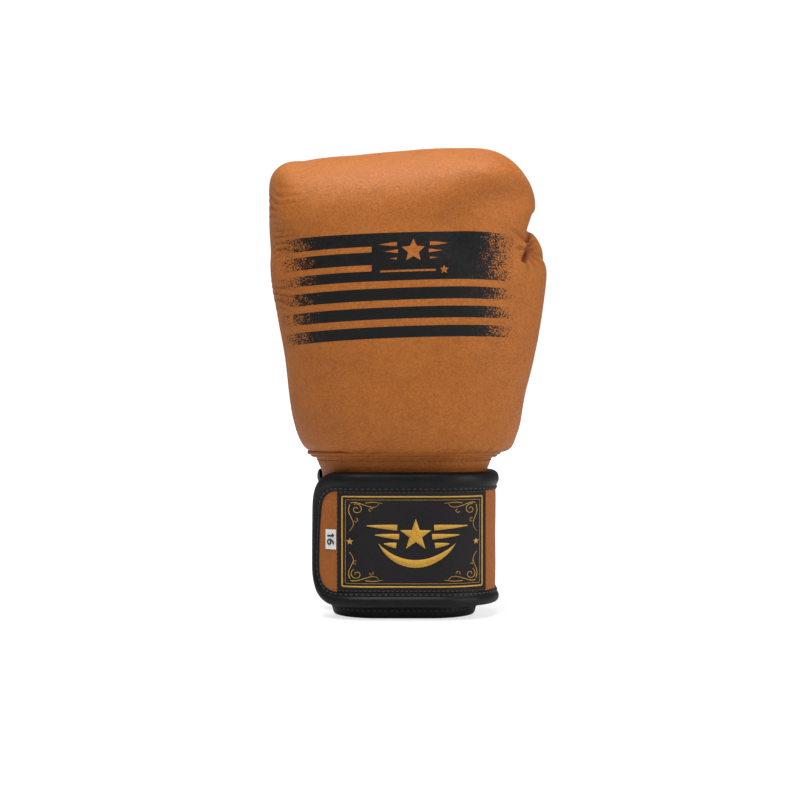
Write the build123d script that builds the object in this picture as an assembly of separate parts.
from build123d import *
import copy
import math
import os

# A left-hand training glove for boxing, standing upright on its cuff mouth. Millimetres.
# +Z runs from the cuff mouth to the knuckles, -Y is the back of the hand, +Y the palm, +X the thumb side.
# The origin is on the floor, under the middle of the glove's bounding box.

# ---- driving dimensions -------------------------------------------------------------------------
WRIST_Z = 93.0              # lower edge of the padded hand, where it is sewn to the cuff
LEATHER = 1.8               # glove leather, one skin
COMFORT_FOAM = 6.0          # soft layer next to the hand
LINING = 0.8                # woven lining cloth
ROUNDNESS = 2.5             # superellipse exponent of the padded cross sections
SECTION_POINTS = 12         # points on each padded cross section

# padded hand, sections across its length: z, little-finger side x, thumb side x, back y, palm y
TRUNK = [
    (93, -54.5, 57, -46, 38),
    (99, -60.5, 60, -50, 38),
    (106, -63, 57, -53, 36.5),
    (123, -66.3, 47.5, -58, 33),
    (150, -69.3, 47, -63, 30),
    (176, -74, 50, -67, 31),
    (201, -77.5, 56, -69, 32),
    (228, -78, 66, -66, 32),
    (246, -70, 68, -55, 30),
]
# fist roll, sections from the little finger to the thumb side: x, underside z, top z, back y, palm y
FIST = [
    (-80.5, 218, 242, -16, 16),
    (-76, 200, 258, -44, 42),
    (-68, 192, 264.5, -58, 56),
    (-50, 186, 268.5, -66.5, 65),
    (-20, 184, 272, -69, 68),
    (10, 192, 274.7, -69, 68),
    (30, 209, 275.7, -69, 66),
    (50, 227, 274.5, -67, 60),
    (64, 232, 267, -58, 48),
    (73, 233, 254, -42, 30),
    (76.5, 237, 246, -20, 10),
]
# padded thumb, sections up its length: z, inner x, outer x, middle y, half depth
THUMB = [
    (100.5, 53.5, 62.5, -3, 15),
    (106, 50.5, 66.5, -5, 26),
    (114, 48.5, 69, -5, 31),
    (132, 47, 73.4, -3, 34),
    (150, 47, 78.1, 1, 34.5),
    (173, 49, 82.3, 7, 32.5),
    (194, 52, 83.8, 13, 28.5),
    (208, 55, 82.9, 17, 24.5),
    (219, 58.5, 80, 20, 19.5),
    (226, 62, 75.5, 22, 12.5),
    (228.5, 65.5, 72, 22, 6),
]
# hand space, sections up the wrist and palm: z, little-finger side x, thumb side x, back y, palm y
HAND_SPACE = [
    (86, -39, 39, -24, 24),
    (93, -40, 40, -25, 24),
    (120, -46, 34, -27, 17),
    (150, -52, 28, -29, 10),
    (178, -56, 28, -31, 8),
    (210, -57, 34, -32, 10),
    (232, -50, 32, -24, 12),
]
# finger space, curled over the grip bar: x, underside z, top z, back y, palm y
FINGER_SPACE = [
    (-56, 210, 232, -18, 34),
    (-46, 205, 240, -29, 43),
    (-10, 204, 243, -32, 46),
    (14, 212, 243, -32, 40),
    (28, 221, 242, -28, 32),
    (35, 227, 238, -16, 20),
]
# thumb space: z, inner x, outer x, middle y, half depth
THUMB_SPACE = [
    (127, 56, 63, 6, 9),
    (136, 54, 67, 7, 14),
    (156, 54, 71, 11, 15),
    (181, 57, 75, 15, 14.5),
    (202, 61, 76, 19, 12),
    (210, 65, 72.5, 20.5, 6),
]
PASSAGE = (146.0, 8.5, 34.0, 20.0)  # hole between hand and thumb: z, y, height, depth
GRIP_BAR = (19.3, 187.5, 5.2)       # y, z, radius
GRIP_BAR_X = (-38.0, 22.0)
PANEL_SPLIT_Y = 8.0                 # side seam between the back and palm leather
PALM_TOP = 184.0                    # the palm leather ends under the fist roll
FOAM_SPLIT_Z = 197.0                # the fist foam sits on the back and palm foams

# cuff, sections: z, half width, half depth, plan corner radius
CUFF = [
    (0, 40.0, 29.5, 25.0),
    (84, 46.9, 32.0, 28.0),
    (93, 50.5, 34.5, 30.0),
]
CUFF_LEATHER = 1.6
CUFF_FOAM = 4.0
BINDING = 1.4                       # thickness of the black edge binding
BINDING_HEIGHT = 9.5
SLIT_X = -21.0                      # the cuff opens on the palm side, towards the little finger
SLIT_HALF_BOTTOM = 5.0
SLIT_HALF_TOP = 2.2
SLIT_TOP = 71.0

# closure strap, measured at its inner face
STRAP_BOTTOM = 8.0
STRAP_TOP = 84.0
STRAP_HALF_X = 49.0
STRAP_HALF_Y = 35.2
STRAP_RADIUS = 30.0
STRAP_LINING = 0.8
STRAP_PADDING = 2.4
STRAP_LEATHER = 1.6
STRAP_BINDING = 0.8
STRAP_BINDING_FACE = 9.0            # height of the binding on the face of the strap
STRAP_ROOT_X = -30.7                # last sewn line on the palm side
PALM_FOLD = 45.0                    # where the strap folds, degrees round each plan corner
BACK_FOLD = 70.0
STRAP_TIP = 75.0
TIP_RADIUS = 21.5
FOLD_GAP = 0.5
TAPE = 1.3                          # hook tape and loop tape
LABEL_X = (-38.6, 46.8)
LABEL_Z = (17.2, 74.6)
LABEL = 0.5

THUMB_GAP = 0.9
THUMB_PIVOT = (50.0, 2.0, 102.0)
THUMB_AXIS = (-0.5, 0.866, 0.0)
THUMB_TRAVEL = 6.0                  # degrees

STRAP_THICK = STRAP_LINING + STRAP_PADDING + STRAP_LEATHER
STRAP_OUT = STRAP_THICK + STRAP_BINDING
CORNER_X = STRAP_HALF_X - STRAP_RADIUS
CORNER_Y = STRAP_HALF_Y - STRAP_RADIUS


# ---- helpers ------------------------------------------------------------------------------------
def closed_curve(centre_u, centre_v, half_u, half_v, place):
    """Superellipse wire; place turns its two coordinates into a point."""
    points = []
    for k in range(SECTION_POINTS):
        angle = 2 * math.pi * k / SECTION_POINTS
        c, s = math.cos(angle), math.sin(angle)
        u = centre_u + half_u * math.copysign(abs(c) ** (2 / ROUNDNESS), c)
        v = centre_v + half_v * math.copysign(abs(s) ** (2 / ROUNDNESS), s)
        points.append(place(u, v))
    return Wire([Edge.make_spline(points, periodic=True)])


def upright_form(sections, inset, bottom_inset=0.0, top_inset=0.0):
    """Loft of sections stacked along Z; inset shrinks it, a negative inset grows it."""
    wires = []
    for k, (z, x0, x1, y0, y1) in enumerate(sections):
        z_here = z + (bottom_inset if k == 0 else 0) - (top_inset if k == len(sections) - 1 else 0)
        wires.append(closed_curve((x0 + x1) / 2, (y0 + y1) / 2, (x1 - x0) / 2 - inset, (y1 - y0) / 2 - inset,
                                  lambda u, v, z_here=z_here: (u, v, z_here)))
    return Solid.make_loft(wires)


def crosswise_form(sections, inset):
    """Loft of sections stacked along X."""
    wires = []
    last = len(sections) - 1
    for k, (x, z0, z1, y0, y1) in enumerate(sections):
        x_here = x + (inset if k == 0 else 0) - (inset if k == last else 0)
        wires.append(closed_curve((y0 + y1) / 2, (z0 + z1) / 2, (y1 - y0) / 2 - inset, (z1 - z0) / 2 - inset,
                                  lambda u, v, x_here=x_here: (x_here, u, v)))
    return Solid.make_loft(wires)


def thumb_form(sections, inset):
    """Padded thumb: the same stacked sections, given by their middle and half depth in Y."""
    stacked = [(z, x0, x1, mid - half, mid + half) for z, x0, x1, mid, half in sections]
    return upright_form(stacked, inset, inset, inset)


def cuff_form(inset, z_low=None, z_high=None):
    """Tapered cuff tube as a solid, between two heights."""
    low = CUFF[0][0] if z_low is None else z_low
    high = CUFF[-1][0] if z_high is None else z_high
    heights = [low] + [z for z, *rest in CUFF if low < z < high] + [high]
    faces = []
    for z in heights:
        half_x, half_y, radius = cuff_section(z)
        outline = RectangleRounded(2 * (half_x - inset), 2 * (half_y - inset), radius - inset)
        faces.append((Plane.XY.offset(z) * outline).face())
    return loft(faces, ruled=True)


def cuff_section(z):
    """Half width, half depth and corner radius of the cuff at a height."""
    for (z0, *low), (z1, *high) in zip(CUFF, CUFF[1:]):
        if z <= z1:
            break
    share = (z - z0) / (z1 - z0)
    return [a + (b - a) * share for a, b in zip(low, high)]


def block(x0, x1, y0, y1, z0, z1):
    return Pos((x0 + x1) / 2, (y0 + y1) / 2, (z0 + z1) / 2) * Box(x1 - x0, y1 - y0, z1 - z0)


def one_solid(shape):
    """The largest solid of a result, without boolean crumbs."""
    solids = sorted(shape.solids(), key=lambda s: s.volume)
    return solids[-1]


def strap_path_solid(distance, z0, z1):
    """Solid inside the closed strap path, pushed out by a distance."""
    outline = RectangleRounded(2 * (STRAP_HALF_X + distance), 2 * (STRAP_HALF_Y + distance),
                               STRAP_RADIUS + distance)
    return extrude(Plane.XY.offset(z0) * outline, z1 - z0)


def corner_point(side_x, side_y, angle, distance):
    """Point on the strap round a plan corner; the angle starts at the Y direction."""
    reach = STRAP_RADIUS + distance
    turn = math.radians(angle)
    return (side_x * (CORNER_X + reach * math.sin(turn)), side_y * (CORNER_Y + reach * math.cos(turn)))


def sector(side_x, side_y, angle_a, angle_b, extra):
    """Plan region from one fold line to another, as a polygon of far points; extra trims both ends."""
    centre = (side_x * CORNER_X, side_y * CORNER_Y)
    rim = []
    for k in range(13):
        turn = math.radians(angle_a + (angle_b - angle_a) * k / 12)
        rim.append((centre[0] + side_x * 90 * math.sin(turn), centre[1] + side_y * 90 * math.cos(turn)))
    return [centre] + rim


def prism(points, z0=-5.0, z1=110.0):
    """Upright prism over a plan polygon."""
    return extrude(make_face(Polyline(points, close=True)).moved(Location((0, 0, z0))), z1 - z0)


def fold_cut(side_x, side_y, angle):
    """Thin upright wall on a fold line, removed from both neighbours to leave the fold gap."""
    inner = corner_point(side_x, side_y, angle, -25)
    outer = corner_point(side_x, side_y, angle, 25)
    length = math.dist(inner, outer)
    turn = math.degrees(math.atan2(outer[1] - inner[1], outer[0] - inner[0]))
    middle = ((inner[0] + outer[0]) / 2, (inner[1] + outer[1]) / 2, 50)
    return Pos(*middle) * Rot(0, 0, turn) * Box(length, 2 * FOLD_GAP, 140)


made = {}


def save(name, shape):
    made[name] = one_solid(shape)


# ---- padded hand --------------------------------------------------------------------------------
thumb_room = thumb_form(THUMB, -THUMB_GAP)
thumb_open = thumb_room.rotate(Axis(THUMB_PIVOT, THUMB_AXIS), THUMB_TRAVEL)
thumb_half = thumb_room.rotate(Axis(THUMB_PIVOT, THUMB_AXIS), THUMB_TRAVEL / 2)

hand_outer = upright_form(TRUNK, 0) + crosswise_form(FIST, 0)
foam_outer = upright_form(TRUNK, LEATHER, LEATHER) + crosswise_form(FIST, LEATHER)
for shape in (thumb_room, thumb_half, thumb_open):
    hand_outer = hand_outer - shape

foam_room = thumb_form(THUMB, -THUMB_GAP - LEATHER)
foam_outer = foam_outer - foam_room - foam_room.rotate(Axis(THUMB_PIVOT, THUMB_AXIS), THUMB_TRAVEL)

spaces = []
for growth in (0, LINING, LINING + COMFORT_FOAM):
    spaces.append(upright_form(HAND_SPACE, -growth, 0, -growth) + crosswise_form(FINGER_SPACE, -growth))
hand_space, lining_outer, comfort_outer = spaces

z, y, height, depth = PASSAGE
passage = Pos(40, y, z) * Rot(0, 90, 0) * extrude(Ellipse(height / 2, depth / 2), 20)
passage_in = Pos(20, y, z) * Rot(0, 90, 0) * extrude(Ellipse(height / 2, depth / 2), 34)

cuff_bore = cuff_form(CUFF_LEATHER + CUFF_FOAM, WRIST_Z - 6)
cuff_bore = cuff_bore + cuff_form(CUFF_LEATHER + CUFF_FOAM, WRIST_Z - 1).moved(Location((0, 0, 1)))

above_wrist = block(-120, 120, -120, 120, WRIST_Z, 320)
lining_outer = lining_outer & above_wrist
comfort_outer = comfort_outer & above_wrist

leather = hand_outer - foam_outer - cuff_bore - passage_in - comfort_outer
palm_zone = block(-120, 120, PANEL_SPLIT_Y, 120, WRIST_Z - 5, PALM_TOP)
save("palm_leather", leather & palm_zone)
save("back_leather", leather - palm_zone)

hand_lining = lining_outer - hand_space - passage_in
save("hand_lining", hand_lining)
comfort = comfort_outer - lining_outer - passage_in
save("comfort_foam", comfort)

y, z, radius = GRIP_BAR
bar = Pos(GRIP_BAR_X[0], y, z) * Rot(0, 90, 0) * extrude(Circle(radius), GRIP_BAR_X[1] - GRIP_BAR_X[0])
bar = bar - comfort_outer
save("grip_bar", bar)

padding = foam_outer - comfort_outer - passage_in - bar - cuff_bore
upper = block(-120, 120, -120, 120, FOAM_SPLIT_Z, 320)
front = block(-120, 120, 0, 120, WRIST_Z - 5, FOAM_SPLIT_Z)
save("fist_foam", padding & upper)
save("palm_foam", (padding - upper) & front)
save("back_foam", (padding - upper) - front)

# ---- thumb --------------------------------------------------------------------------------------
thumb_outer = thumb_form(THUMB, 0)
thumb_inner = thumb_form(THUMB, LEATHER)
thumb_space = thumb_form(THUMB_SPACE, 0)
thumb_lining_outer = thumb_form(THUMB_SPACE, -LINING)
thumb_skin = thumb_outer - thumb_inner - passage
seam_cut = Plane((66, 12, 166), z_dir=(0.35, 0.94, 0)) * Box(200, 200, 200,
                                                             align=(Align.CENTER, Align.CENTER, Align.MIN))
save("thumb_outer_leather", thumb_skin - seam_cut)
save("thumb_inner_leather", thumb_skin & seam_cut)
save("thumb_foam", thumb_inner - thumb_lining_outer - passage)
save("thumb_lining", thumb_lining_outer - thumb_space - passage)

# leather tab between the fist and the thumb tip
tether = block(46, 66, 30, 42, 209, 217) - foam_outer - hand_outer
tether = tether - thumb_room - thumb_half
save("thumb_tether", tether)

# ---- cuff ---------------------------------------------------------------------------------------
slit_plan = [(SLIT_X - SLIT_HALF_BOTTOM, -5), (SLIT_X + SLIT_HALF_BOTTOM, -5),
             (SLIT_X + SLIT_HALF_TOP, SLIT_TOP), (SLIT_X - SLIT_HALF_TOP, SLIT_TOP)]


def slit_prism(grow, y0, y1):
    points = [(x + math.copysign(grow, x - SLIT_X), z + (grow if z > 0 else 0)) for x, z in slit_plan]
    face = make_face(Polyline(points, close=True))
    return Pos(0, y1, 0) * Rot(90, 0, 0) * extrude(face, y1 - y0)


slit = slit_prism(0, 0, 60)
slit_wide = slit_prism(BINDING, 0, 60)
layer_1 = cuff_form(CUFF_LEATHER, BINDING)
layer_2 = cuff_form(CUFF_LEATHER + CUFF_FOAM, BINDING)
layer_3 = cuff_form(CUFF_LEATHER + CUFF_FOAM + LINING, BINDING)
cuff_outer = cuff_form(0, BINDING)
cuff_skin = cuff_outer - layer_1 - slit_wide
back_half = block(-120, 120, -120, 0, -10, 110)
save("cuff_back_leather", cuff_skin & back_half)
save("cuff_palm_leather", cuff_skin - back_half)
save("cuff_foam", layer_1 - layer_2 - slit_wide)
save("cuff_lining", layer_2 - layer_3 - slit_wide)

mouth_wrap = cuff_form(-BINDING, 0, BINDING_HEIGHT) - cuff_form(CUFF_LEATHER + CUFF_FOAM + LINING + BINDING, 0,
                                                               BINDING_HEIGHT)
mouth_wrap = mouth_wrap - (cuff_form(0, BINDING, 20) - cuff_form(CUFF_LEATHER + CUFF_FOAM + LINING, BINDING, 20))
save("cuff_mouth_binding", mouth_wrap - slit_wide)
slit_edge = (cuff_form(-BINDING, 0, SLIT_TOP + BINDING)
             - cuff_form(CUFF_LEATHER + CUFF_FOAM + LINING + BINDING, 0, SLIT_TOP + BINDING))
slit_edge = (slit_edge & slit_wide) - slit
save("slit_binding", slit_edge)

welt = cuff_form(-2.6, WRIST_Z - 4.5) - cuff_form(0, WRIST_Z - 4.5)
save("wrist_welt", welt)

loop_tape = block(-18, 18, -STRAP_HALF_Y + TAPE + 0.5, 0, 15, 77) - cuff_form(0)
save("loop_tape", loop_tape)

# ---- closure strap ------------------------------------------------------------------------------
fold_palm = fold_cut(1, 1, PALM_FOLD)
fold_back = fold_cut(1, -1, BACK_FOLD)
palm_fold_dir = corner_point(1, 1, PALM_FOLD, 90)
back_fold_dir = corner_point(1, -1, BACK_FOLD, 90)
centre_palm = (CORNER_X, CORNER_Y)
centre_back = (CORNER_X, -CORNER_Y)
tip_dir = corner_point(-1, -1, STRAP_TIP, 90)

root_plan = [(-90, 6), (STRAP_ROOT_X - FOLD_GAP, 6), (STRAP_ROOT_X - FOLD_GAP, 90), (-90, 90)]
palm_plan = [(STRAP_ROOT_X + FOLD_GAP, 12), (centre_palm[0], centre_palm[1]), palm_fold_dir, (60, 130),
             (STRAP_ROOT_X + FOLD_GAP, 130)]
wrap_plan = [centre_back, back_fold_dir, (140, 0), palm_fold_dir, centre_palm]
end_plan = [centre_back, back_fold_dir, (120, -130), (-120, -130), tip_dir, (-CORNER_X, -CORNER_Y)]


def strap_zone(plan, inset):
    """Upright prism over one link's plan, inset from the strap's top and bottom edges."""
    return prism(plan, STRAP_BOTTOM + inset, STRAP_TOP - inset)


def tip_zone(inset):
    """Rounded free end, seen from the side: keeps what lies behind the tip."""
    tip_y = corner_point(-1, -1, STRAP_TIP, STRAP_OUT)[1] - inset
    radius = TIP_RADIUS - inset * 0.6
    height = STRAP_TOP - STRAP_BOTTOM - 2 * inset
    middle = (STRAP_TOP + STRAP_BOTTOM) / 2
    outline = Pos(tip_y - 60, middle) * RectangleRounded(120, height, radius)
    return Plane.YZ.offset(-100) * extrude(outline, 100 - CORNER_X) + block(-CORNER_X, 120, -130, 60,
                                                                            STRAP_BOTTOM + inset,
                                                                            STRAP_TOP - inset)


def strap_link(name, plan, free_end=False):
    """One strap link: leather, padding and lining cores with a binding wrapped round its edges."""
    full = strap_zone(plan, 0) - fold_palm - fold_back
    core = strap_zone(plan, STRAP_BINDING) - fold_palm - fold_back
    window = strap_zone(plan, STRAP_BINDING_FACE) - fold_palm - fold_back
    if free_end:
        full = full & tip_zone(0)
        core = core & tip_zone(STRAP_BINDING)
        window = window & tip_zone(STRAP_BINDING_FACE)
    low, high = STRAP_BOTTOM - 1, STRAP_TOP + 1
    shells = [strap_path_solid(d, low, high)
              for d in (-0.6, 0, STRAP_LINING, STRAP_LINING + STRAP_PADDING, STRAP_THICK, STRAP_OUT)]
    save(f"{name}_lining", (shells[2] - shells[1]) & core)
    save(f"{name}_padding", (shells[3] - shells[2]) & core)
    save(f"{name}_leather", (shells[4] - shells[3]) & core)
    cover = ((shells[5] - shells[0]) & full) - ((shells[4] - shells[1]) & core) - window
    if free_end:
        save(f"{name}_binding", cover)
        return
    middle = (STRAP_TOP + STRAP_BOTTOM) / 2
    save(f"{name}_binding_top", cover & block(-150, 150, -150, 150, middle, 120))
    save(f"{name}_binding_bottom", cover & block(-150, 150, -150, 150, -10, middle))


strap_link("strap_palm", palm_plan)
strap_link("strap_wrap", wrap_plan)
strap_link("strap_end", end_plan, True)

# sewn root: the same band, packed out to the cuff it is stitched to
root_band = (strap_path_solid(STRAP_THICK, STRAP_BOTTOM, STRAP_TOP) - strap_path_solid(0, 0, 100))
save("strap_root_leather", root_band & prism(root_plan))
root_fill = strap_path_solid(0, BINDING_HEIGHT + 0.5, STRAP_TOP - 2) - cuff_form(0)
save("strap_root_padding", root_fill & prism([(-90, 10), (-36, 10), (-36, 90), (-90, 90)]))

label_band = strap_path_solid(STRAP_THICK + LABEL, *LABEL_Z) - strap_path_solid(STRAP_THICK, 0, 100)
save("woven_label", label_band & block(*LABEL_X, -120, 0, 0, 110))
tag_band = strap_path_solid(STRAP_THICK + 0.4, 40.5, 51.5) - strap_path_solid(STRAP_THICK, 0, 100)
save("size_tag", tag_band & block(-46.4, -39, -120, 0, 0, 110))
hook_tape = strap_path_solid(0, 18, 74) - strap_path_solid(-TAPE, 0, 100)
save("hook_tape", hook_tape & block(-20, 13, -120, 0, 0, 110))

# ---- put the origin under the middle of the bounding box and write the parts ---------------------
overall = Compound(children=[copy.copy(solid) for solid in made.values()]).bounding_box()
shift = Location((-overall.center().X, -overall.center().Y, -overall.min.Z))
os.makedirs("parts", exist_ok=True)
for name, solid in made.items():
    export_step(solid.moved(shift), f"parts/{name}.step")
